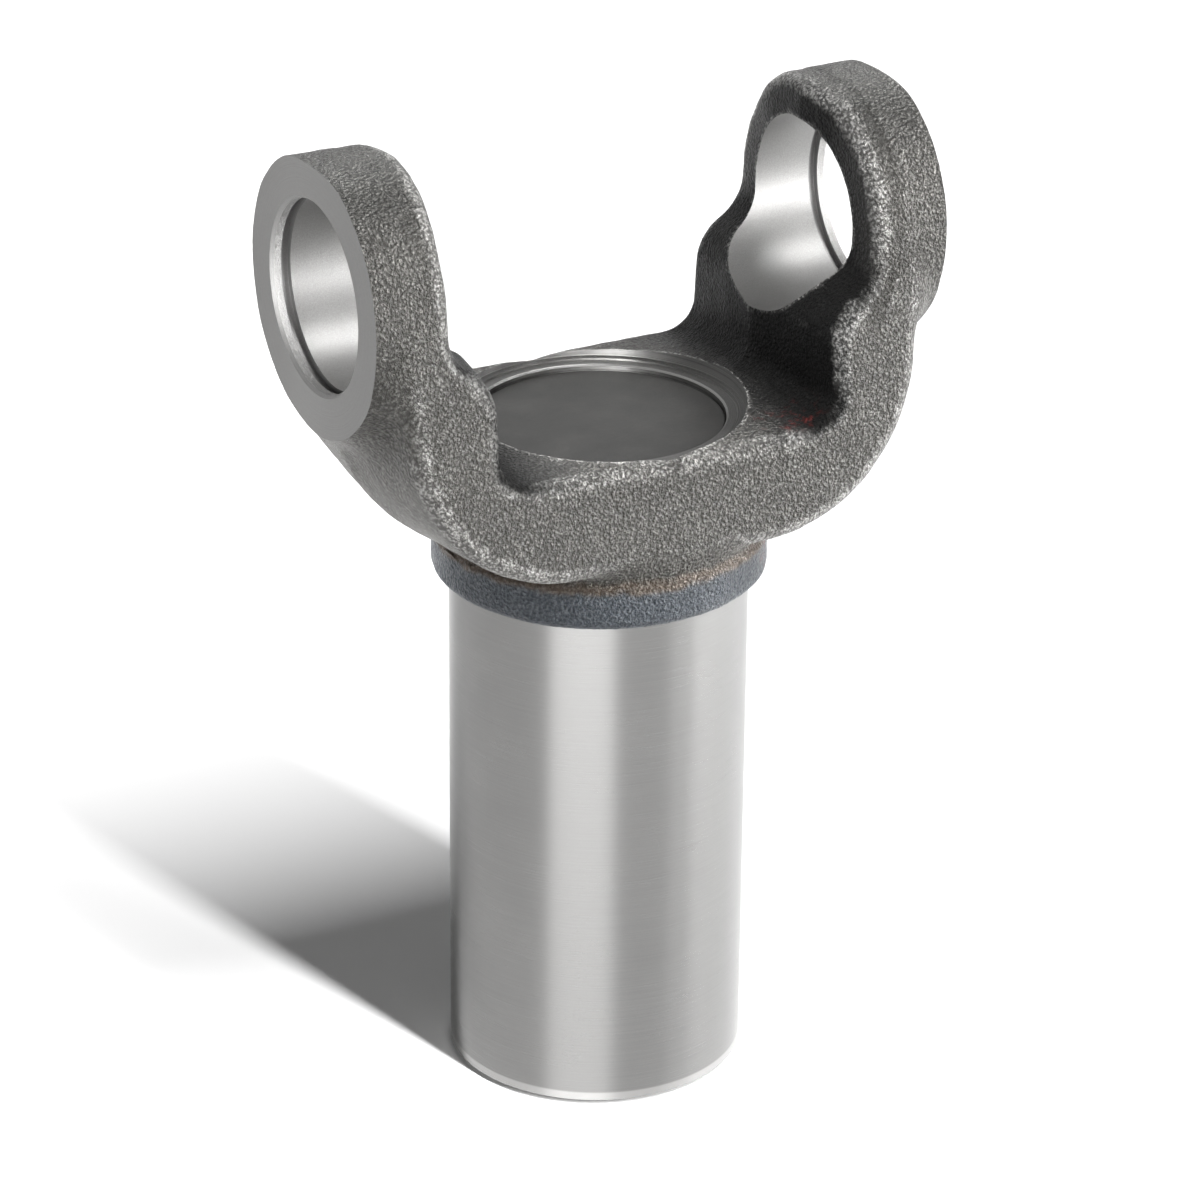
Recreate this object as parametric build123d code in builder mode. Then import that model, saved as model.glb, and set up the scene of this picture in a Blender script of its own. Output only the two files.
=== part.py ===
"""Slip yoke for a propeller shaft: one steel forging with two bored ears, and its pressed-in plug.

The origin is the centre of the barrel's open end, +Z runs up the barrel and +X along the cross bores.
Lengths are in millimetres and angles in degrees.
"""

from math import acos, cos, hypot, pi, radians, sin, tan
import os

from build123d import *

# Spline in the barrel, its plain mouth and the relief above it
spline_teeth = 32
spline_pitch_radius = 16.933
spline_pressure_angle = 30.0
spline_addendum = 0.528
spline_dedendum = 0.717
flank_run_in = 0.2
mouth_clearance = 0.6
mouth_depth = 14.0
mouth_chamfer = 1.2
relief_clearance = 0.75

# Barrel, ground to run in a seal: its wall outside the spline's roots
barrel_wall = 6.29
barrel_length = 86.5
barrel_end_chamfer = 2.2
barrel_end_chamfer_depth = 0.94

# Forged collar between the barrel and the fork, and the neck that runs from it up inside the fork
collar_stand = 3.0
collar_edge_chamfer = 0.7
collar_height = 7.5
neck_stand = 2.16
neck_height = 15.5

# Heights, each above the one before: bowl above the barrel, floor of the throat, cross bores
bowl_rise = 7.0
floor_thickness = 21.0
throat_depth = 25.5
ledge_below_bore = 3.8

# Fork outline on the parting plane, each width outside the one before: throat, ledges, ears
throat_margin = 4.1
ledge_width = 7.5
ledge_slope = 27.0
ear_thickness = 14.87
ear_gap_lean = 1.5
ledge_fillet = 3.6
shoulder_round = 5.6
throat_fillet = 7.5
bowl_radius = 29.9
bowl_wall = 19.4
flank_lean = 5.4

# Die draft away from the parting plane, and the rounds along the fork's edges
draft_angle = 6.0
throat_floor_draft = 3.6
rim_round = 3.7
flank_chamfer = 2.9

# Cross bores and their snap-ring grooves
cross_bore_radius = 15.09
cross_bore_chamfer = 0.5
groove_inset = 1.7
groove_width = 1.6
groove_depth = 1.1

# Side view: round ears on straight sides that flare towards the collar, flat on top, with bosses just proud of them
ear_wall = 6.6
ear_flat_trim = 0.34
side_flare = 6.4
boss_step = 0.12

# Recess and seat turned in the throat's floor for the plug
seat_width = 1.55
recess_depth = 2.6
recess_ledge = 1.75
recess_step = 0.35
recess_margin = 1.2
recess_wall_slope = 10.0
plug_sink = 1.0
plug_thickness = 3.0
plug_edge_chamfer = 0.4
seat_lip_chamfer = 0.3
relief_height = 9.9

# Cutters and blanks run this far past the metal they meet. Edges are picked within a distance, and by
# how much of their direction lies along the axis
overrun = 5.0
near = 0.1
mostly = 0.9

# Radii about the barrel's axis, from the spline outwards
spline_tip_radius = spline_pitch_radius - spline_addendum
spline_root_radius = spline_pitch_radius + spline_dedendum
mouth_radius = spline_root_radius + mouth_clearance
barrel_radius = spline_root_radius + barrel_wall
relief_radius = spline_root_radius + relief_clearance
plug_radius = relief_radius + seat_width
recess_step_radius = plug_radius + recess_ledge
recess_radius = recess_step_radius + recess_margin

# Heights and widths of the fork on the parting plane
bowl_bottom = barrel_length + bowl_rise
throat_floor = bowl_bottom + floor_thickness
cross_height = throat_floor + throat_depth
ledge_height = cross_height - ledge_below_bore
ledge_drop = ledge_width * tan(radians(ledge_slope))
throat_x = recess_radius + throat_margin
gap_x = throat_x + ledge_width
face_x = gap_x + ear_thickness
bowl_centre_x = throat_x + bowl_wall - bowl_radius
bowl_centre_z = bowl_bottom + bowl_radius
flank_x = bowl_centre_x + bowl_radius * cos(radians(flank_lean))

# Collar and neck
collar_radius = barrel_radius + collar_stand
neck_radius = barrel_radius + neck_stand

# Ears and the side view
ear_radius = cross_bore_radius + ear_wall
boss_radius = ear_radius + boss_step
ear_flat_height = cross_height + ear_radius - ear_flat_trim
blank_top = cross_height + ear_radius + 2 * overrun
half_depth = ear_radius + 2 * overrun
boss_root_x = gap_x + ear_radius * tan(radians(draft_angle)) + rim_round + boss_step
side_y = ear_radius * cos(radians(side_flare))
side_z = cross_height + ear_radius * sin(radians(side_flare))
side_foot_z = bowl_bottom - overrun
side_foot_y = side_y + (side_z - side_foot_z) * tan(radians(side_flare))

# Heights of the recess, the plug and the relief below it
recess_floor = throat_floor - recess_depth
plug_top = recess_floor - plug_sink
plug_foot = plug_top - plug_thickness
spline_end = plug_foot - relief_height
recess_rim_z = throat_floor + overrun
recess_rim_radius = recess_radius + (recess_rim_z - recess_floor) * tan(radians(recess_wall_slope))

# Base circle of the involute spline, and the radii that place its flanks
spline_base_radius = spline_pitch_radius * cos(radians(spline_pressure_angle))
flank_radii = (spline_tip_radius - flank_run_in, spline_pitch_radius, spline_root_radius)


def is_throat_floor(face):
    """True for the floor of the throat."""
    return abs(face.center().Z - throat_floor) < near


def is_forged_side(face):
    """True for a face that the die drafts, all but the throat's floor."""
    middle = face.center()
    on_cut = middle.X < near or middle.Z > blank_top - near or abs(face.normal_at().Y) > near
    return not on_cut and not is_throat_floor(face)


def off_symmetry(edge):
    """True for an edge that lies on neither plane of symmetry."""
    middle = edge.position_at(0.5)
    return abs(middle.X) > near and abs(middle.Y) > near


def edge_across(part, x, z):
    """Edge that runs across the fork from this corner of its outline on the parting plane."""
    across = part.edges().filter_by(lambda edge: abs(edge.tangent_at(0.5).Y) > mostly)
    return across.sort_by_distance((x, 0, z))[0]


def is_tangent_line(edge):
    """True for the line across the ear where its circle runs into the straight side."""
    return edge.geom_type == GeomType.LINE and abs(edge.position_at(0.5).Z - side_z) < near


def side_edges(part):
    """Edges of a quarter fork's side: its flat front and the round side of its ear."""
    front = part.faces().sort_by(Axis.Y)[0]
    round_faces = part.faces().filter_by(GeomType.CYLINDER)
    ear_side = round_faces.filter_by(lambda face: abs(face.radius - ear_radius) < near)[0]
    outline = ShapeList(front.edges() + ear_side.edges())
    return outline.filter_by(off_symmetry).filter_by(lambda edge: not is_tangent_line(edge))


def is_rim(edge):
    """True for an edge round the inside of the fork."""
    middle = edge.position_at(0.5)
    return middle.X < boss_root_x and middle.Z > (throat_floor + bowl_bottom) / 2


def is_bore_mouth(edge):
    """True for an edge round the outer end of a cross bore."""
    middle = edge.position_at(0.5)
    on_bore = abs(hypot(middle.Y, middle.Z - cross_height) - cross_bore_radius) < near
    return on_bore and abs(abs(middle.X) - face_x) < near


def involute(angle):
    """Involute function of an angle in radians."""
    return tan(angle) - angle


def space_point(radius, side):
    """Point at a radius on one flank of the tooth space that lies on the X axis."""
    pressure = acos(spline_base_radius / radius)
    half_angle = pi / (2 * spline_teeth) + involute(radians(spline_pressure_angle)) - involute(pressure)
    return (radius * cos(half_angle), side * radius * sin(half_angle))


# One space between the teeth of the spline, with involute flanks
with BuildSketch() as tooth_space:
    with BuildLine():
        near_flank = ThreePointArc(*(space_point(radius, -1) for radius in flank_radii))
        far_flank = ThreePointArc(*(space_point(radius, 1) for radius in flank_radii))
        ThreePointArc(near_flank @ 1, (spline_root_radius, 0), far_flank @ 1)
        Line(near_flank @ 0, far_flank @ 0)
    make_face()

with BuildPart() as slip_yoke:
    # A quarter of the fork, drafted thinner away from the parting plane
    with BuildSketch(Plane.XZ) as fork_outline:
        with BuildLine():
            skin = CenterArc((bowl_centre_x, bowl_centre_z), bowl_radius, -flank_lean, flank_lean - 90)
            Polyline(
                skin @ 0,
                ((skin @ 0).X + (blank_top - (skin @ 0).Y) * tan(radians(flank_lean)), blank_top),
                (gap_x + (blank_top - ledge_height) * tan(radians(ear_gap_lean)), blank_top),
                (gap_x, ledge_height),
                (throat_x, ledge_height - ledge_drop),
                (throat_x, throat_floor),
                (0, throat_floor),
                (0, bowl_bottom),
                skin @ 1,
            )
        make_face()
    extrude(amount=half_depth)
    draft(slip_yoke.faces().filter_by(is_throat_floor), Plane.XZ, throat_floor_draft)
    draft(slip_yoke.faces().filter_by(is_forged_side), Plane.XZ, draft_angle)
    fillet(edge_across(slip_yoke.part, throat_x, throat_floor), throat_fillet)
    fillet(edge_across(slip_yoke.part, throat_x, ledge_height - ledge_drop), shoulder_round)
    fillet(edge_across(slip_yoke.part, gap_x, ledge_height), ledge_fillet)

    with BuildSketch(Plane.YZ) as side_view:
        with BuildLine():
            Line((0, side_foot_z), (-side_foot_y, side_foot_z))
            Line((-side_foot_y, side_foot_z), (-side_y, side_z))
            CenterArc((0, cross_height), ear_radius, 180 - side_flare, side_flare - 90)
            Line((0, cross_height + ear_radius), (0, side_foot_z))
        make_face()
    extrude(amount=face_x + 2 * overrun, mode=Mode.INTERSECT)

    fillet(side_edges(slip_yoke.part).filter_by(is_rim), rim_round)
    chamfer(side_edges(slip_yoke.part).filter_by(lambda edge: not is_rim(edge)), flank_chamfer)

    # Ear trimmed to its face and to the flat on its top, with the boss round the bore
    split(bisect_by=Plane.YZ.offset(face_x), keep=Keep.BOTTOM)
    split(bisect_by=Plane.XY.offset(ear_flat_height), keep=Keep.BOTTOM)
    with BuildSketch(Plane.YZ.offset(boss_root_x)) as boss_outline:
        with Locations((0, cross_height)):
            Circle(boss_radius)
        with Locations((0, ear_flat_height)):
            Rectangle(boss_radius, 2 * boss_radius, align=(Align.MAX, Align.MAX), mode=Mode.INTERSECT)
    extrude(amount=face_x - boss_root_x)

    # The other three quarters
    mirror(about=Plane.XZ)
    mirror(about=Plane.YZ)

    # Collar and neck
    with BuildSketch(Plane.XZ) as collar_profile:
        with BuildLine():
            Polyline(
                (0, barrel_length),
                (collar_radius - collar_edge_chamfer, barrel_length),
                (collar_radius, barrel_length + collar_edge_chamfer),
                (collar_radius, barrel_length + collar_height),
                (neck_radius, barrel_length + neck_height),
                (0, barrel_length + neck_height),
                close=True,
            )
        make_face()
    revolve()

    # Barrel
    with BuildSketch(Plane.XY) as barrel_section:
        Circle(barrel_radius)
    extrude(amount=barrel_length)
    chamfer(
        slip_yoke.faces().sort_by(Axis.Z)[0].edges(),
        length=barrel_end_chamfer_depth,
        length2=barrel_end_chamfer,
    )

    # Cross bores and their snap-ring grooves
    with BuildSketch(Plane.YZ) as bore_section:
        with Locations((0, cross_height)):
            Circle(cross_bore_radius)
    extrude(amount=face_x, both=True, mode=Mode.SUBTRACT)
    chamfer(slip_yoke.edges().filter_by(is_bore_mouth), cross_bore_chamfer)
    with BuildSketch(Plane.YZ.offset(face_x - groove_inset)) as groove_section:
        with Locations((0, cross_height)):
            Circle(cross_bore_radius + groove_depth)
    extrude(amount=-groove_width, mode=Mode.SUBTRACT)
    with BuildSketch(Plane.YZ.offset(groove_inset - face_x)) as far_groove_section:
        with Locations((0, cross_height)):
            Circle(cross_bore_radius + groove_depth)
    extrude(amount=groove_width, mode=Mode.SUBTRACT)

    # Recess in the throat's floor, the plug's seat and the relief below it
    with BuildSketch(Plane.XZ) as recess_profile:
        with BuildLine():
            Polyline(
                (0, spline_end),
                (relief_radius, spline_end),
                (relief_radius, plug_foot),
                (plug_radius, plug_foot),
                (plug_radius, recess_floor - seat_lip_chamfer),
                (plug_radius + seat_lip_chamfer, recess_floor),
                (recess_step_radius, recess_floor),
                (recess_step_radius, recess_floor + recess_step),
                (recess_radius, recess_floor + recess_step),
                (recess_rim_radius, recess_rim_z),
                (0, recess_rim_z),
                close=True,
            )
        make_face()
    revolve(mode=Mode.SUBTRACT)

    # Splined bore with a plain, chamfered mouth
    with BuildSketch(Plane.XY) as spline_section:
        Circle(spline_tip_radius)
        with PolarLocations(0, spline_teeth):
            add(tooth_space.sketch)
    extrude(amount=spline_end, mode=Mode.SUBTRACT)
    with BuildSketch(Plane.XY) as mouth_section:
        Circle(mouth_radius)
    extrude(amount=mouth_depth, mode=Mode.SUBTRACT)
    chamfer(slip_yoke.faces().sort_by(Axis.Z)[0].inner_wires()[0].edges(), mouth_chamfer)

slip_yoke.part.label = "slip_yoke"

with BuildPart() as welch_plug:
    with BuildSketch(Plane.XY.offset(plug_foot)) as plug_outline:
        Circle(plug_radius)
    extrude(amount=plug_thickness)
    chamfer(welch_plug.faces().sort_by(Axis.Z)[-1].edges(), plug_edge_chamfer)

welch_plug.part.label = "welch_plug"

os.makedirs("parts", exist_ok=True)
export_step(slip_yoke.part, "parts/slip_yoke.step")
export_step(welch_plug.part, "parts/welch_plug.step")
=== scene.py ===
from math import cos, pi, radians, sin, tan

import bmesh
import bpy
import numpy as np
from mathutils import Matrix, Vector


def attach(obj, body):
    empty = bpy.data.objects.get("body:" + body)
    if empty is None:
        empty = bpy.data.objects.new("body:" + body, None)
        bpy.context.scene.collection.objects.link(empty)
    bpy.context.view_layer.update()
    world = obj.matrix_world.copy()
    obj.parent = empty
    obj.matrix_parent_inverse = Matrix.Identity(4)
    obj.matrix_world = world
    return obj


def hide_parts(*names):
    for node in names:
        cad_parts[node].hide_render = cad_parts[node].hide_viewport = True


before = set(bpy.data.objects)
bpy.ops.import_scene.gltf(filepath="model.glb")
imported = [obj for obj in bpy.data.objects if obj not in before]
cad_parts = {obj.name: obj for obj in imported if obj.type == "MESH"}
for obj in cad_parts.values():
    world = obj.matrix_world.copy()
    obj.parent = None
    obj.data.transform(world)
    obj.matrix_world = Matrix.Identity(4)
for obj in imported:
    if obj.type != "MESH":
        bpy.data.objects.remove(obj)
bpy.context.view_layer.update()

# A slip yoke stands on its barrel. The origin is the centre of the barrel's end, Z runs up the barrel and X
# along the cross bores. Lengths are in millimetres and angles in degrees, and MM turns a length into metres.
MM = 0.001

# Barrel with the chamfer at its end, and its splined bore
BARREL_R, BARREL_TOP, BARREL_OVERLAP = 23.94, 86.5, 0.3
END_R, END_CHAMFER = 21.74, 0.94
MOUTH_R, SPLINE_TOP = 19.45, 98.0
BARREL_SEGMENTS = 256

# Collar above the barrel, and the neck between it and the fork
COLLAR_R, COLLAR_TOP, COLLAR_ROUND, COLLAR_BLEND = 26.8, 93.0, 1.2, 1.5
NECK_R, NECK_TOP, NECK_BLEND = 25.2, 97.5, 4.0

# Ears, and the bosses round their bores, which blend into the flanks below the bore's middle
CROSS_Z, FACE_X = 140.0, 49.37
EAR_R, FLAT_Z, FLAT_ROUND = 21.69, 161.35, 2.2
BOSS_R, BOSS_FOOT, BOSS_OVERRUN = 21.81, 41.5, 1.2
BOSS_BLEND, BLEND_FULL, BLEND_END, NO_BLEND = 5.5, -11.0, 0.5, 0.001

# Space inside the fork: the throat, the ledges and the gap between the ears
THROAT_X, THROAT_Z, THROAT_FILLET = 27.0, 114.5, 5.2
LEDGE_Z, LEDGE_SLOPE, LEDGE_FILLET, SHOULDER_ROUND = 136.2, 27.0, 3.4, 4.6
GAP_X, GAP_LEAN = 34.5, 1.5
RIM_ROUND = 2.3

# Bowl, flanks and flared sides
BOWL_X, BOWL_R, BOWL_Z = 16.5, 29.9, 93.5
FLANK_LEAN, FLANK_ROUND = 5.4, 2.8
SIDE_FLARE, DEPTH_LIMIT = 6.0, 26.75

# Die draft of the walls and of the throat's floor, and the round along the planes of symmetry
TAN_DRAFT, COS_DRAFT, TAN_FLOOR = tan(radians(6.0)), cos(radians(6.0)), tan(radians(3.6))
MIDDLE_ROUND = 0.2

# Cross bores with their snap-ring grooves
BORE_R, BORE_CHAMFER = 15.09, 0.5
GROOVE_R, GROOVE_IN, GROOVE_OUT = 16.19, 46.07, 47.67

# Turned recess in the throat's floor, the plug's seat and the well below it
RECESS_R, RECESS_TOP_R, RECESS_Z, RECESS_REACH = 22.9, 24.25, 111.9, 8.0
STEP_R, STEP_HEIGHT, LIP_CHAMFER = 21.7, 0.35, 0.3
PLUG_R, SEAT_Z = 19.95, 107.9
WELL_R, WELL_Z = 18.4, 80.0

# Cutters: how far the bore's runs, the blocks' thickness, half depth and height, and the lathe's segments
BORE_REACH = 60.0
BLOCK_X, BLOCK_Y, BLOCK_LOW, BLOCK_HIGH = 8.0, 35.0, 100.0, 180.0
CUTTER_SEGMENTS = 192

# Relief of the forged skin, from coarse to fine: height, wavelength, seed and number of waves
RELIEF = ((0.06, 11.0, 3, 14), (0.03, 4.5, 5, 14), (0.018, 2.2, 8, 20))
WAVE_SPREAD = (0.75, 1.35)

# Box and cells of the skin's mesh
NET_LOW, NET_HIGH, NET_STEP = (-51.2, -29.0, 85.0), (51.2, 29.0, 163.0), 0.72
SHARP_ANGLE = 38.0

# Camera: place and range in metres, directions away from the yoke and level to the right, roll, and lens
CAMERA_PLACE = (-0.3476, -0.6404, 0.4162)
CAMERA_BACK, CAMERA_LEVEL = (-0.4333, -0.7976, 0.4197), (0.8787, -0.4774, 0.0)
CAMERA_ROLL = 0.5266
CAMERA_LENS, CAMERA_SENSOR, CAMERA_RANGE, CAMERA_AZIMUTH = 150.45, 36.0, 20.0, -118.5

# Soft light of the surroundings, and the floor in metres
SOFT_LIGHT, FLOOR_GLOW, FLOOR_HALF = 0.13, 0.02, 3.0
WHITE, FLOOR_GREY = (1.0, 1.0, 1.0, 1.0), (0.86, 0.86, 0.86, 1.0)

# Colours of the forged scale: its tone is darker in the hollows of the relief as painted shade and lighter on
# the bumps as painted highlight; the next line holds painted shade for the throat and the ear tops, and
# ridges that are worn and carry painted highlight
SCALE_HOLLOW_SHADE, SCALE_GREY, SCALE_BUMP_HIGHLIGHT = (0.046, 0.044, 0.041), (0.078, 0.076, 0.070), (0.142, 0.139, 0.130)
THROAT_SHADE, CROWN_SHADE, RIDGE_WEAR_AND_HIGHLIGHT = (0.007, 0.007, 0.007), (0.030, 0.030, 0.028), (0.42, 0.415, 0.40)
BROWN_LINE, RUST = (0.13, 0.085, 0.055), (0.115, 0.022, 0.020)
BLUE_DARK, BLUE_GREY, BLUE_LIGHT = (0.022, 0.027, 0.033), (0.048, 0.056, 0.067), (0.10, 0.11, 0.12)

# Colours of the machined steel and of the plug
BORE_DARK, BORE_LIGHT = (0.155, 0.154, 0.151), (0.240, 0.238, 0.234)
FACE_DARK, FACE_LIGHT, GROOVE_SHADE = (0.118, 0.117, 0.115), (0.165, 0.164, 0.161), (0.035, 0.035, 0.036)
SEAT_DARK, SEAT_LIGHT, SEAT_FLARE = (0.07, 0.069, 0.067), (0.30, 0.297, 0.29), (0.07, 0.07, 0.068)
PLUG_DARK, PLUG_GREY, PLUG_LIGHT = (0.032, 0.032, 0.031), (0.054, 0.053, 0.051), (0.10, 0.098, 0.094)
PIT_DARK = (0.03, 0.03, 0.03)
GROUND_DARK, GROUND_LIGHT, CHAMFER_HIGHLIGHT = (0.142, 0.141, 0.139), (0.178, 0.177, 0.174), (0.27, 0.268, 0.264)

scene = bpy.context.scene
scene.view_settings.view_transform = "Standard"


def round_and(a, b, r):
    """Where two solids overlap, with a convex edge of radius r. Distances are negative in the metal."""
    return np.minimum(np.maximum(a, b), -r) + np.hypot(np.maximum(a + r, 0), np.maximum(b + r, 0))


def round_or(a, b, r):
    """Two solids joined, with a concave corner of radius r."""
    return np.maximum(np.minimum(a, b), r) - np.hypot(np.maximum(r - a, 0), np.maximum(r - b, 0))


def ease(value, low, high):
    """0 below low and 1 above high, smooth between."""
    t = np.clip((value - low) / (high - low), 0, 1)
    return t * t * (3 - 2 * t)


def forging(x, y, z):
    """Signed distance to the plain forging, before it is machined."""
    ax, ay = np.sqrt(x * x + MIDDLE_ROUND ** 2), np.sqrt(y * y + MIDDLE_ROUND ** 2)
    thin = ay * TAN_DRAFT

    # Space inside the fork, positive where it is open
    slope = radians(LEDGE_SLOPE)
    above_floor = z - THROAT_Z + ay * TAN_FLOOR
    inside_wall = (THROAT_X + thin - ax) * COS_DRAFT
    above_ledge = ((z - LEDGE_Z + thin) * cos(slope) - (ax - GAP_X - thin) * sin(slope)) * COS_DRAFT
    inside_gap = (GAP_X + thin + (z - LEDGE_Z) * tan(radians(GAP_LEAN)) - ax) * COS_DRAFT
    throat = round_or(above_floor, inside_wall, THROAT_FILLET)
    gap = round_or(above_ledge, inside_gap, LEDGE_FILLET)
    space = round_and(throat, gap, SHOULDER_ROUND)

    # Bowl and flanks
    lean = radians(FLANK_LEAN)
    dx, dz = ax - BOWL_X, z - BOWL_Z - BOWL_R
    skin_r = BOWL_R - thin
    flank = np.where(dx < 0, -dz - skin_r, np.hypot(dx, dz) - skin_r)
    above_bowl = dz > -np.tan(lean) * np.maximum(dx, 0)
    flank = np.where(above_bowl, dx * cos(lean) - dz * sin(lean) - skin_r, flank)
    flank = np.where((dx < 0) & (dz > 0), -skin_r, flank) * COS_DRAFT

    # Round ears on flared sides
    flare = radians(SIDE_FLARE)
    up = z - CROSS_Z
    round_ear = np.hypot(ay, up) - EAR_R
    straight_side = ay * cos(flare) + up * sin(flare) - EAR_R
    side = np.where(up > ay * tan(flare), round_ear, straight_side)
    outside = round_and(round_and(side, z - FLAT_Z, FLAT_ROUND), flank, FLANK_ROUND)
    fork = round_and(outside, space, RIM_ROUND)

    # Bosses round the bores
    boss_ends = np.maximum(BOSS_FOOT - ax, ax - FACE_X - BOSS_OVERRUN)
    boss = np.maximum(round_and(np.hypot(ay, up) - BOSS_R, z - FLAT_Z, FLAT_ROUND), boss_ends)
    fork = round_or(fork, boss, BOSS_BLEND * (1 - ease(up, BLEND_FULL, BLEND_END)) + NO_BLEND)

    # Neck and collar
    radius = np.hypot(x, y)
    neck = np.maximum(round_and(radius - NECK_R, z - NECK_TOP, NECK_BLEND), BARREL_TOP - z)
    collar = np.maximum(round_and(radius - COLLAR_R, BARREL_TOP - z, COLLAR_ROUND), z - COLLAR_TOP)
    body = round_or(round_or(fork, neck, NECK_BLEND), collar, COLLAR_BLEND)
    return np.maximum(body, np.abs(y) - DEPTH_LIMIT)


def waves(x, y, z, length, seed, count):
    """Smooth seeded noise: a sum of plane waves of about one length."""
    rng = np.random.default_rng(seed)
    total = np.zeros_like(x)
    for _ in range(count):
        d = rng.normal(size=3)
        d /= np.linalg.norm(d)
        k = 2 * pi / (length * rng.uniform(*WAVE_SPREAD))
        total += np.sin(k * (d[0] * x + d[1] * y + d[2] * z) + rng.uniform(0, 2 * pi))
    return total / np.sqrt(count)


def rough_forging(x, y, z):
    """Signed distance to the forging with its pebbly relief."""
    relief = sum(height * waves(x, y, z, length, seed, count) for height, length, seed, count in RELIEF)
    return forging(x, y, z) + relief


def surface_net(field, low, high, step):
    """Vertices and quads of the surface where the field is zero: a vertex in each cell that it crosses."""
    axes = [np.arange(a, b + step, step) for a, b in zip(low, high)]
    f = field(*np.meshgrid(*axes, indexing="ij")).astype(np.float32)
    inside = f < 0
    shape = np.array(f.shape)
    corners_inside = np.zeros(shape - 1, int)
    for i in (0, 1):
        for j in (0, 1):
            for k in (0, 1):
                corners_inside += inside[i:shape[0] - 1 + i, j:shape[1] - 1 + j, k:shape[2] - 1 + k]
    crossed = (corners_inside > 0) & (corners_inside < 8)
    index = -np.ones(crossed.shape, int)
    index[crossed] = np.arange(crossed.sum())
    cells = np.argwhere(crossed)

    # Each vertex is the mean of the points where the surface crosses its cell's edges
    total, count = np.zeros((len(cells), 3)), np.zeros(len(cells))
    for axis in range(3):
        u, v = [other for other in range(3) if other != axis]
        for i in (0, 1):
            for j in (0, 1):
                start = cells.copy()
                start[:, u] += i
                start[:, v] += j
                end = start.copy()
                end[:, axis] += 1
                f_start, f_end = f[tuple(start.T)], f[tuple(end.T)]
                cross = (f_start < 0) != (f_end < 0)
                point = start.astype(float)
                point[:, axis] += np.where(cross, f_start / np.where(cross, f_start - f_end, 1), 0)
                total += np.where(cross[:, None], point, 0)
                count += cross
    vertices = np.array(low) + total / count[:, None] * step

    # A quad joins the four cells round each grid edge that the surface crosses
    quads = []
    for axis in range(3):
        u, v = (axis + 1) % 3, (axis + 2) % 3
        lead, lag = [slice(None)] * 3, [slice(None)] * 3
        lead[axis], lag[axis] = slice(1, None), slice(None, -1)
        a, b = inside[tuple(lag)], inside[tuple(lead)]
        for flip, mask in ((False, a & ~b), (True, ~a & b)):
            edge = np.argwhere(mask)
            across = edge[:, [u, v]]
            edge = edge[((across > 0) & (across < shape[[u, v]] - 1)).all(axis=1)]
            ring = []
            for du, dv in ((0, 0), (1, 0), (1, 1), (0, 1)):
                cell = edge.copy()
                cell[:, u] -= 1 - du
                cell[:, v] -= 1 - dv
                ring.append(index[tuple(cell.T)])
            ring = np.stack(ring, axis=1)
            quads.append(ring[:, ::-1] if flip else ring)
    return vertices, np.concatenate(quads)


def settle(field, points, steps=4, probe=0.02, least_slope=0.05, reach=0.5):
    """Points moved onto the surface along the field's slope."""
    p = points.copy()
    for _ in range(steps):
        x, y, z = p.T
        slope = np.stack([
            field(x + probe, y, z) - field(x - probe, y, z),
            field(x, y + probe, z) - field(x, y - probe, z),
            field(x, y, z + probe) - field(x, y, z - probe),
        ], axis=1) / (2 * probe)
        square = np.maximum((slope * slope).sum(1), least_slope)
        p -= np.clip(field(x, y, z) / square, -reach, reach)[:, None] * slope
    return p


def new_object(name, vertices, faces, material=None, scale=MM):
    """A mesh object in the scene."""
    mesh = bpy.data.meshes.new(name)
    mesh.from_pydata((np.asarray(vertices) * scale).tolist(), [], [list(map(int, f)) for f in faces])
    mesh.validate()
    if material:
        mesh.materials.append(material)
    obj = bpy.data.objects.new(name, mesh)
    scene.collection.objects.link(obj)
    return obj


def fix_normals(obj):
    """All faces turned to look outwards."""
    bm = bmesh.new()
    bm.from_mesh(obj.data)
    bmesh.ops.recalc_face_normals(bm, faces=bm.faces)
    bm.to_mesh(obj.data)
    bm.free()


def along_x(along, u, v):
    """A place on the lathe whose axis is that of the cross bores."""
    return (along, u, v + CROSS_Z)


def along_z(along, u, v):
    """A place on the lathe whose axis is the barrel's."""
    return (u, v, along)


def turn_rings(rings, place, segments):
    """Vertices and side faces turned from (along, radius) points."""
    angles = [2 * pi * k / segments for k in range(segments)]
    vertices = [place(along, radius * cos(a), radius * sin(a)) for along, radius in rings for a in angles]
    faces = []
    for start in range(0, (len(rings) - 1) * segments, segments):
        for k in range(segments):
            n = (k + 1) % segments
            faces.append((start + k, start + n, start + segments + n, start + segments + k))
    return vertices, faces


def lathe(name, rings, place, material):
    """A solid turned from (along, radius) points and closed by flat ends."""
    vertices, faces = turn_rings(rings, place, CUTTER_SEGMENTS)
    last = len(vertices) - CUTTER_SEGMENTS
    faces.append(list(range(CUTTER_SEGMENTS))[::-1])
    faces.append([last + k for k in range(CUTTER_SEGMENTS)])
    obj = new_object(name, vertices, faces, material)
    fix_normals(obj)
    return obj


def block_pair(name, material):
    """Two blocks past the ear faces."""
    vertices, faces = [], []
    for side in (-1, 1):
        start = len(vertices)
        for x in (FACE_X, FACE_X + BLOCK_X):
            for y in (-BLOCK_Y, BLOCK_Y):
                for z in (BLOCK_LOW, BLOCK_HIGH):
                    vertices.append((side * x, y, z))
        for quad in ((0, 1, 3, 2), (4, 6, 7, 5), (0, 4, 5, 1), (2, 3, 7, 6), (0, 2, 6, 4), (1, 5, 7, 3)):
            faces.append([start + i for i in quad])
    obj = new_object(name, vertices, faces, material)
    fix_normals(obj)
    return obj


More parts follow.
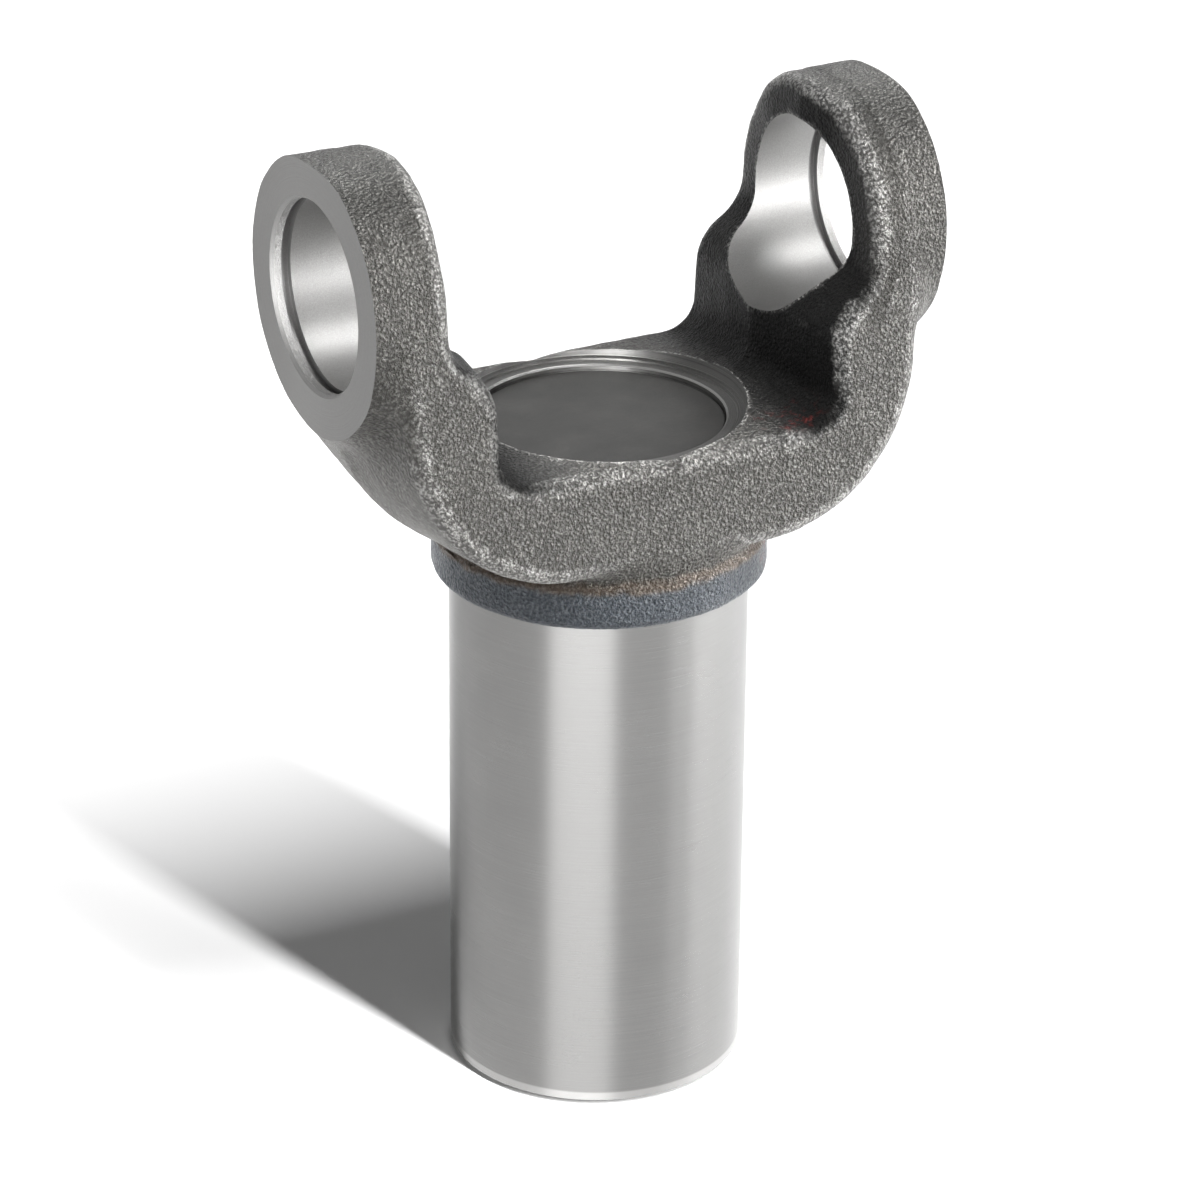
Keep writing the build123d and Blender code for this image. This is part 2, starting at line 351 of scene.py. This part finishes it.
def cut(target, cutter):
    """The target less the cutter, whose material the cut faces take."""
    modifier = target.modifiers.new("cut", "BOOLEAN")
    modifier.operation = "DIFFERENCE"
    modifier.solver = "MANIFOLD"
    modifier.material_mode = "TRANSFER"
    modifier.object = cutter
    bpy.context.view_layer.update()
    depsgraph = bpy.context.evaluated_depsgraph_get()
    mesh = bpy.data.meshes.new_from_object(target.evaluated_get(depsgraph))
    target.modifiers.clear()
    old = target.data
    target.data = mesh
    bpy.data.meshes.remove(old)
    bpy.data.objects.remove(cutter)


def make_skin(forged, turned, seat):
    """The rough forging, faced, bored and recessed."""
    vertices, quads = surface_net(rough_forging, NET_LOW, NET_HIGH, NET_STEP)
    skin = new_object("yoke_forging", settle(rough_forging, vertices), quads, forged)
    fix_normals(skin)
    cut(skin, block_pair("ear_cutter", turned))

    half = [
        (GROOVE_IN, BORE_R),
        (GROOVE_IN, GROOVE_R),
        (GROOVE_OUT, GROOVE_R),
        (GROOVE_OUT, BORE_R),
        (FACE_X - BORE_CHAMFER, BORE_R),
        (FACE_X, BORE_R + BORE_CHAMFER),
        (BORE_REACH, BORE_R + BORE_CHAMFER),
    ]
    other_half = [(-along, radius) for along, radius in reversed(half)]
    cut(skin, lathe("bore_cutter", other_half + half, along_x, turned))

    recess = [
        (WELL_Z, WELL_R),
        (SEAT_Z, WELL_R),
        (SEAT_Z, PLUG_R),
        (RECESS_Z - LIP_CHAMFER, PLUG_R),
        (RECESS_Z, PLUG_R + LIP_CHAMFER),
        (RECESS_Z, STEP_R),
        (RECESS_Z + STEP_HEIGHT, STEP_R),
        (RECESS_Z + STEP_HEIGHT, RECESS_R),
        (RECESS_Z + RECESS_REACH, RECESS_TOP_R),
    ]
    cut(skin, lathe("recess_cutter", recess, along_z, seat))
    return skin


def barrel_and_spline(ground, inner, slack=0.02):
    """The ground outside of the barrel, turned here, and the splined bore as the solid has it."""
    rings = [(0.0, MOUTH_R), (0.0, END_R), (END_CHAMFER, BARREL_R), (BARREL_TOP + BARREL_OVERLAP, BARREL_R)]
    outside = new_object("barrel_outside", *turn_rings(rings, along_z, BARREL_SEGMENTS), ground)
    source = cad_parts["slip_yoke"].data
    points = np.array([v.co for v in source.vertices]) / MM
    radius = np.hypot(points[:, 0], points[:, 1])
    keep = []
    for polygon in source.polygons:
        corners = list(polygon.vertices)
        top = points[corners, 2].max()
        if radius[corners].max() < MOUTH_R + slack and slack / 2 < top < SPLINE_TOP + slack:
            keep.append(corners)
    used = sorted({i for face in keep for i in face})
    place = {old: new for new, old in enumerate(used)}
    bore = new_object("splined_bore", points[used], [[place[i] for i in face] for face in keep], inner)
    return outside, bore


def join(name, objects):
    """One object out of several, with their materials kept."""
    materials, vertices, faces, slots = [], [], [], []
    for obj in objects:
        start = len(vertices)
        for material in obj.data.materials:
            if material not in materials:
                materials.append(material)
        vertices += [v.co[:] for v in obj.data.vertices]
        for polygon in obj.data.polygons:
            faces.append([start + i for i in polygon.vertices])
            slots.append(materials.index(obj.data.materials[polygon.material_index]))
        bpy.data.objects.remove(obj)
    joined = new_object(name, vertices, faces, scale=1.0)
    for material in materials:
        joined.data.materials.append(material)
    joined.data.polygons.foreach_set("material_index", slots)
    joined.data.polygons.foreach_set("use_smooth", [True] * len(slots))
    joined.data.set_sharp_from_angle(angle=radians(SHARP_ANGLE))
    return joined


def add_node(tree, kind, inputs=None, **settings):
    """A shader node with its settings, and its inputs set or linked."""
    node = tree.nodes.new("ShaderNode" + kind)
    for key, value in settings.items():
        setattr(node, key, value)
    for key, value in (inputs or {}).items():
        if isinstance(value, bpy.types.NodeSocket):
            tree.links.new(value, node.inputs[key])
        else:
            node.inputs[key].default_value = value
    return node


class Maker:
    """Builds one material's node tree out of positions in millimetres."""

    def __init__(self, name):
        self.material = bpy.data.materials.new(name)
        self.material.use_nodes = True
        self.tree = self.material.node_tree
        self.shader = self.tree.nodes["Principled BSDF"]
        place = self.node("TexCoord").outputs["Object"]
        self.place = self.node("VectorMath", {0: place, "Scale": 1 / MM}, operation="SCALE").outputs[0]
        self.x, self.y, self.z = self.node("SeparateXYZ", {0: self.place}).outputs
        geometry = self.node("NewGeometry").outputs
        self.nx, _, self.nz = self.node("SeparateXYZ", {0: geometry["Normal"]}).outputs
        self.pointiness = geometry["Pointiness"]

    def node(self, kind, inputs=None, **settings):
        return add_node(self.tree, kind, inputs, **settings)

    def math(self, operation, a, b=0.0):
        """One operation on a and b; some take a alone."""
        return self.node("Math", {0: a, 1: b}, operation=operation).outputs[0]

    def plus(self, a, b):
        return self.math("ADD", a, b)

    def minus(self, a, b):
        return self.math("SUBTRACT", a, b)

    def times(self, first, *others):
        """The product of all the values."""
        for other in others:
            first = self.math("MULTIPLY", first, other)
        return first

    def weighted(self, *pairs):
        """The sum of values, each times its weight."""
        total, *rest = [self.times(value, weight) for value, weight in pairs]
        for term in rest:
            total = self.plus(total, term)
        return total

    def length(self, a, b):
        """The length of the vector (a, b)."""
        return self.math("SQRT", self.plus(self.times(a, a), self.times(b, b)))

    def step(self, value, low, high):
        """0 below low, 1 above high, smooth between; low may be above high."""
        return self.node("MapRange", {0: value, 1: low, 2: high}, interpolation_type="SMOOTHSTEP").outputs[0]

    def band(self, value, start, full, fade, end):
        """1 from full to fade, and 0 before start and after end."""
        return self.times(self.step(value, start, full), self.step(value, end, fade))

    def spread(self, value, low, high, first, last):
        """first below low, last above high, straight between."""
        return self.node("MapRange", {0: value, 1: low, 2: high, 3: first, 4: last}).outputs[0]

    def blend(self, factor, a, b):
        """Value a turned towards value b."""
        return self.node("Mix", {0: factor, 2: a, 3: b}, data_type="FLOAT").outputs[0]

    def noise(self, scale=1.0, detail=3.0, rough=0.55, vector=None):
        """Noise with scale cells to the millimetre."""
        inputs = {"Vector": vector or self.place, "Scale": scale, "Detail": detail, "Roughness": rough}
        return self.node("TexNoise", inputs).outputs["Fac"]

    def stretch(self, x, y, z):
        """The place, with each axis at a scale of its own."""
        return self.node("VectorMath", {0: self.place, 1: (x, y, z)}, operation="MULTIPLY").outputs[0]

    def combine(self, x, y=0.0):
        return self.node("CombineXYZ", {0: x, 1: y}).outputs[0]

    def mix(self, factor, a, b):
        """Colour a turned towards colour b; b may be a plain colour."""
        node = self.node("Mix", {0: factor}, data_type="RGBA")
        for socket, value in ((node.inputs[6], a), (node.inputs[7], b)):
            if isinstance(value, tuple):
                socket.default_value = (*value, 1.0)
            else:
                self.tree.links.new(value, socket)
        return node.outputs[2]

    def ramp(self, factor, *stops):
        """Colours at positions along the factor, straight between."""
        node = self.node("ValToRGB", {0: factor})
        elements = node.color_ramp.elements
        while len(elements) < len(stops):
            elements.new(0.5)
        for element, (position, colour) in zip(elements, stops):
            element.position = position
            element.color = (*colour, 1.0)
        return node.outputs[0]

    def bump(self, height, strength, distance):
        inputs = {"Height": height, "Strength": strength, "Distance": distance * MM}
        return self.node("Bump", inputs).outputs[0]

    def link(self, **sockets):
        """Node outputs led to the shader's inputs."""
        for key, value in sockets.items():
            self.tree.links.new(value, self.shader.inputs[key.replace("_", " ")])

    def turned_round(self, axis):
        """Highlights drawn out across marks that run round an axis."""
        self.link(Tangent=self.node("Tangent", direction_type="RADIAL", axis=axis).outputs[0])

    def fix(self, **values):
        """Plain values on the shader's inputs."""
        for key, value in values.items():
            self.shader.inputs[key.replace("_", " ")].default_value = value


def forged_steel():
    """Shot-blasted forging: pebbly grey scale with painted shade in its hollows, painted shade in the throat
    and on the ear tops, ridges painted bright as wear and highlight, a heat-tinted collar and a few rust
    stains.
    """
    m = Maker("forged_steel")
    voronoi = {"Vector": m.place, "Scale": 1.75, "Smoothness": 0.5, "Randomness": 1.0}
    pebbles = m.node("TexVoronoi", voronoi, feature="SMOOTH_F1").outputs["Distance"]
    grain = m.noise(scale=2.1)
    fine = m.noise(scale=4.2, detail=2.0, rough=0.6)
    broad = m.noise(scale=0.12, rough=0.5)
    height = m.weighted((pebbles, -0.6), (grain, 1.0), (fine, 0.25))
    tone = m.plus(height, m.times(m.minus(broad, 0.5), 0.25))
    # Colour follows the relief's height plus some random tone: hollows darker as painted shade, bumps lighter
    # as painted highlight
    colour = m.ramp(tone, (0.22, SCALE_HOLLOW_SHADE), (0.40, SCALE_GREY), (0.58, SCALE_BUMP_HIGHLIGHT))

    # Painted shade on the inner walls and on the throat's floor near them, which also turns down the metal's
    # reflection there
    across = m.math("ABSOLUTE", m.x)
    inward = m.times(m.nx, m.math("SIGN", m.x), -1.0)
    wall = m.times(m.step(inward, 0.0, 0.55), m.step(across, 38.5, 35.5))
    floor = m.times(m.step(m.nz, 0.3, 0.8), m.step(m.z, 119.0, 116.5), m.step(across, 12.0, 27.0))
    dark = m.math("MAXIMUM", wall, floor)
    colour = m.mix(m.times(dark, 0.95), colour, THROAT_SHADE)

    # Painted shade on the tops of the ears
    crown_shade_mask = m.times(m.step(m.nz, 0.55, 0.92), m.step(m.z, 150.0, 156.0))
    colour = m.mix(m.times(crown_shade_mask, 0.6), colour, CROWN_SHADE)

    # Ridges painted brighter, partly as burnished wear and partly as painted highlight, apart from the edges
    # of the machined ear faces
    ridge_wear_highlight_mask = m.times(m.step(m.pointiness, 0.506, 0.524), m.step(m.z, 93.5, 97.0), m.step(across, 47.8, 45.5))
    colour = m.mix(m.times(ridge_wear_highlight_mask, m.spread(tone, 0.25, 0.50, first=0.15, last=0.80)), colour, RIDGE_WEAR_AND_HIGHLIGHT)

    # Heat-tinted band round the collar, with a thin brown line above it
    ragged_z = m.plus(m.z, m.times(m.noise(scale=0.35), 2.2))
    colour = m.mix(m.times(m.band(ragged_z, 92.8, 93.8, 94.2, 95.6), 0.35), colour, BROWN_LINE)
    tint = m.ramp(grain, (0.32, BLUE_DARK), (0.5, BLUE_GREY), (0.7, BLUE_LIGHT))
    colour = m.mix(m.times(m.step(ragged_z, 94.2, 92.6), 0.88), colour, tint)

    # Rust stains on the throat's floor in front of the right wall
    patch = m.times(m.band(m.x, 17.0, 20.0, 25.0, 29.0), m.band(m.y, -24.0, -21.5, -17.5, -14.0))
    spots = m.times(patch, m.step(m.z, 119.0, 117.0), m.step(m.noise(scale=0.5, rough=0.7), 0.50, 0.66))
    colour = m.mix(m.times(spots, 0.75), colour, RUST)

    # Where the shade is painted, metallic and specular level come down with it
    plain = m.minus(1.0, dark)
    m.link(
        Base_Color=colour,
        Roughness=m.spread(grain, 0.3, 0.7, first=0.44, last=0.27),
        Normal=m.bump(height, strength=1.0, distance=2.3),
        Metallic=m.times(plain, 0.75),
        Specular_IOR_Level=m.times(m.plus(plain, 0.15), 0.43),
    )
    return m.material


def turned_steel():
    """Bored and faced metal: bright in the bores, duller on the ear faces, coarse outside the grooves."""
    m = Maker("turned_steel")
    across = m.math("ABSOLUTE", m.x)
    radius = m.length(m.y, m.minus(m.z, CROSS_Z))
    face = m.step(m.math("ABSOLUTE", m.nx), 0.5, 0.8)
    land = m.times(m.step(across, 47.4, 47.7), m.minus(1.0, face))
    groove = m.times(m.step(radius, 15.35, 15.7), m.band(across, 45.9, 46.1, 47.6, 47.8))

    # Rings on the faces, feed marks in the bores, and chatter on the lands outside the grooves
    rings = m.noise(detail=4.0, rough=0.6, vector=m.combine(m.times(radius, 5.0)))
    feed = m.noise(detail=4.0, rough=0.65, vector=m.combine(m.times(across, 6.0)))
    chatter = m.noise(rough=0.7, vector=m.stretch(5.0, 1.1, 1.1))
    specks = m.noise(scale=7.0, rough=0.7)
    marks = m.blend(land, m.blend(face, feed, rings), chatter)

    bright = m.ramp(specks, (0.3, BORE_DARK), (0.7, BORE_LIGHT))
    dull = m.ramp(m.weighted((specks, 0.5), (rings, 0.5)), (0.35, FACE_DARK), (0.65, FACE_LIGHT))
    # The snap-ring grooves get painted shade
    colour = m.mix(m.times(groove, 0.3), m.mix(face, bright, dull), GROOVE_SHADE)
    strength = m.spread(land, 0.0, 1.0, first=0.12, last=1.0)
    m.turned_round("X")
    m.link(
        Base_Color=colour,
        Roughness=m.spread(face, 0.0, 1.0, first=0.42, last=0.52),
        Normal=m.bump(m.plus(marks, m.times(specks, 0.5)), strength, distance=0.3),
    )
    m.fix(Metallic=1.0, Anisotropic=0.3)
    return m.material


def seat_steel():
    """Turned recess and plug seat, with fine rings."""
    m = Maker("seat_steel")
    radius = m.length(m.x, m.y)
    rings = m.noise(detail=5.0, rough=0.7, vector=m.combine(m.times(radius, 7.0), m.times(m.z, 7.0)))
    specks = m.noise(scale=5.0, rough=0.6)
    colour = m.ramp(rings, (0.35, SEAT_DARK), (0.65, SEAT_LIGHT))
    colour = m.mix(m.times(m.step(radius, 22.7, 23.1), 0.6), colour, SEAT_FLARE)
    m.link(Base_Color=colour, Normal=m.bump(m.plus(rings, m.times(specks, 0.3)), strength=0.5, distance=0.2))
    m.fix(Metallic=1.0, Roughness=0.3)
    return m.material


def plug_steel():
    """Matte pressed disc with fine dark and light specks."""
    m = Maker("plug_steel")
    fine = m.noise(scale=6.0, rough=0.65)
    broad = m.noise(scale=0.15, rough=0.5)
    scratches = m.noise(detail=2.0, rough=0.5, vector=m.stretch(0.6, 6.0, 1.0))
    tone = m.weighted((fine, 0.45), (broad, 0.35), (scratches, 0.2))
    colour = m.ramp(tone, (0.3, PLUG_DARK), (0.55, PLUG_GREY), (0.75, PLUG_LIGHT))
    pits = m.times(m.step(m.noise(scale=2.2, detail=2.0, rough=0.7), 0.70, 0.76), 0.6)
    m.link(
        Base_Color=m.mix(pits, colour, PIT_DARK),
        Normal=m.bump(m.minus(fine, pits), strength=0.35, distance=0.08),
    )
    m.fix(Metallic=0.8, Roughness=0.45)
    return m.material


def ground_steel():
    """Barrel ground round its axis: fine lines, a soft vertical sheen and an end chamfer painted bright as a
    highlight.
    """
    m = Maker("ground_steel")
    lines = m.noise(detail=5.0, rough=0.7, vector=m.stretch(0.06, 0.06, 9.0))
    cloud = m.noise(scale=0.09, rough=0.5)
    specks = m.noise(scale=5.0, detail=2.0, rough=0.6)
    tone = m.weighted((lines, 0.55), (cloud, 0.25), (specks, 0.2))
    colour = m.ramp(tone, (0.3, GROUND_DARK), (0.7, GROUND_LIGHT))
    m.turned_round("Z")
    m.link(
        # The end chamfer is painted brighter, as a highlight
        Base_Color=m.mix(m.step(m.z, 2.5, 2.1), colour, CHAMFER_HIGHLIGHT),
        Roughness=m.spread(tone, 0.3, 0.7, first=0.31, last=0.26),
        Normal=m.bump(m.plus(lines, m.times(specks, 0.4)), strength=0.10, distance=0.05),
    )
    m.fix(Metallic=1.0, Anisotropic=0.85, Anisotropic_Rotation=0.25)
    return m.material


def add_camera():
    """The camera, at the photograph's viewing angle."""
    back, level = Vector(CAMERA_BACK).normalized(), Vector(CAMERA_LEVEL).normalized()
    rise = back.cross(level)
    roll = radians(CAMERA_ROLL)
    right = cos(roll) * level + sin(roll) * rise
    up = cos(roll) * rise - sin(roll) * level
    data = bpy.data.cameras.new("camera")
    data.lens = CAMERA_LENS
    data.sensor_width = CAMERA_SENSOR
    data.sensor_fit = "HORIZONTAL"
    data.clip_end = CAMERA_RANGE
    camera = bpy.data.objects.new("camera", data)
    camera.matrix_world = Matrix.Translation(CAMERA_PLACE) @ Matrix((right, up, back)).transposed().to_4x4()
    scene.collection.objects.link(camera)
    scene.camera = camera


def around(azimuth, distance, height):
    """A place at an azimuth in degrees from the camera's side, positive to its right; in metres."""
    turn = radians(CAMERA_AZIMUTH + azimuth)
    return (distance * cos(turn), distance * sin(turn), height)


def add_lamp(name, place, aim, width, height, power, glossy=True, diffuse=True):
    """A rectangular lamp that faces the height aim on the yoke's axis, all in metres and watts."""
    data = bpy.data.lights.new(name, "AREA")
    data.shape = "RECTANGLE"
    data.size = width
    data.size_y = height
    data.energy = power
    lamp = bpy.data.objects.new(name, data)
    sight = Vector((0, 0, aim)) - Vector(place)
    lamp.matrix_world = Matrix.Translation(place) @ sight.to_track_quat("-Z", "Y").to_matrix().to_4x4()
    lamp.visible_glossy = glossy
    lamp.visible_diffuse = diffuse
    scene.collection.objects.link(lamp)


def seen_rays(tree):
    """1 for the rays that show the background: camera, glossy and transmission."""
    path = add_node(tree, "LightPath").outputs
    inputs = {0: path["Is Camera Ray"], 1: path["Is Glossy Ray"]}
    seen = add_node(tree, "Math", inputs, operation="MAXIMUM").outputs[0]
    return add_node(tree, "Math", {0: seen, 1: path["Is Transmission Ray"]}, operation="MAXIMUM").outputs[0]


def add_world():
    """White surroundings that light the yoke softly."""
    world = bpy.data.worlds.new("studio")
    scene.world = world
    world.use_nodes = True
    tree = world.node_tree
    tree.nodes.clear()
    white = add_node(tree, "Background", {"Color": WHITE, "Strength": 1.0})
    soft = add_node(tree, "Background", {"Color": WHITE, "Strength": SOFT_LIGHT})
    mix = add_node(tree, "MixShader", {0: seen_rays(tree), 1: soft.outputs[0], 2: white.outputs[0]})
    add_node(tree, "OutputWorld", {0: mix.outputs[0]})


def add_floor():
    """A plain pale floor, lifted to white where it is seen, which keeps the yoke's shadow."""
    h = FLOOR_HALF
    floor = new_object("floor", [(-h, -h, 0), (h, -h, 0), (h, h, 0), (-h, h, 0)], [(0, 1, 2, 3)], scale=1.0)
    material = bpy.data.materials.new("floor")
    material.use_nodes = True
    tree = material.node_tree
    shader = tree.nodes["Principled BSDF"]
    shader.inputs["Base Color"].default_value = FLOOR_GREY
    shader.inputs["Roughness"].default_value = 0.95
    shader.inputs["Specular IOR Level"].default_value = 0.0
    glow = add_node(tree, "Emission", {"Color": WHITE, "Strength": FLOOR_GLOW})
    both = add_node(tree, "AddShader", {0: shader.outputs[0], 1: glow.outputs[0]})
    mix = add_node(tree, "MixShader", {0: seen_rays(tree), 1: shader.outputs[0], 2: both.outputs[0]})
    tree.links.new(mix.outputs[0], tree.nodes["Material Output"].inputs[0])
    floor.data.materials.append(material)


add_camera()
add_world()
add_floor()

# One lamp casts the shadow, and the others make the bands of light on the machined steel
add_lamp("key", around(40.5, 1.87, 1.95), aim=0.05, width=0.2, height=3.3, power=240, glossy=False)
add_lamp("front", around(-11, 1.4, 0.36), aim=0.08, width=1.25, height=0.6, power=76, diffuse=False)
add_lamp("right", around(102, 1.1, 0.16), aim=0.08, width=1.3, height=0.28, power=44, diffuse=False)
add_lamp("spark", around(62, 1.0, 0.20), aim=0.10, width=0.22, height=0.22, power=3.5, diffuse=False)
add_lamp("top", around(88, 0.55, 1.15), aim=0.12, width=0.30, height=0.30, power=8, diffuse=False)

seat = seat_steel()
skin = make_skin(forged_steel(), turned_steel(), seat)
yoke = join("yoke_forging", [skin, *barrel_and_spline(ground_steel(), seat)])
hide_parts("slip_yoke")
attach(yoke, "root")

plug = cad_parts["welch_plug"]
plug.data.materials.clear()
plug.data.materials.append(plug_steel())
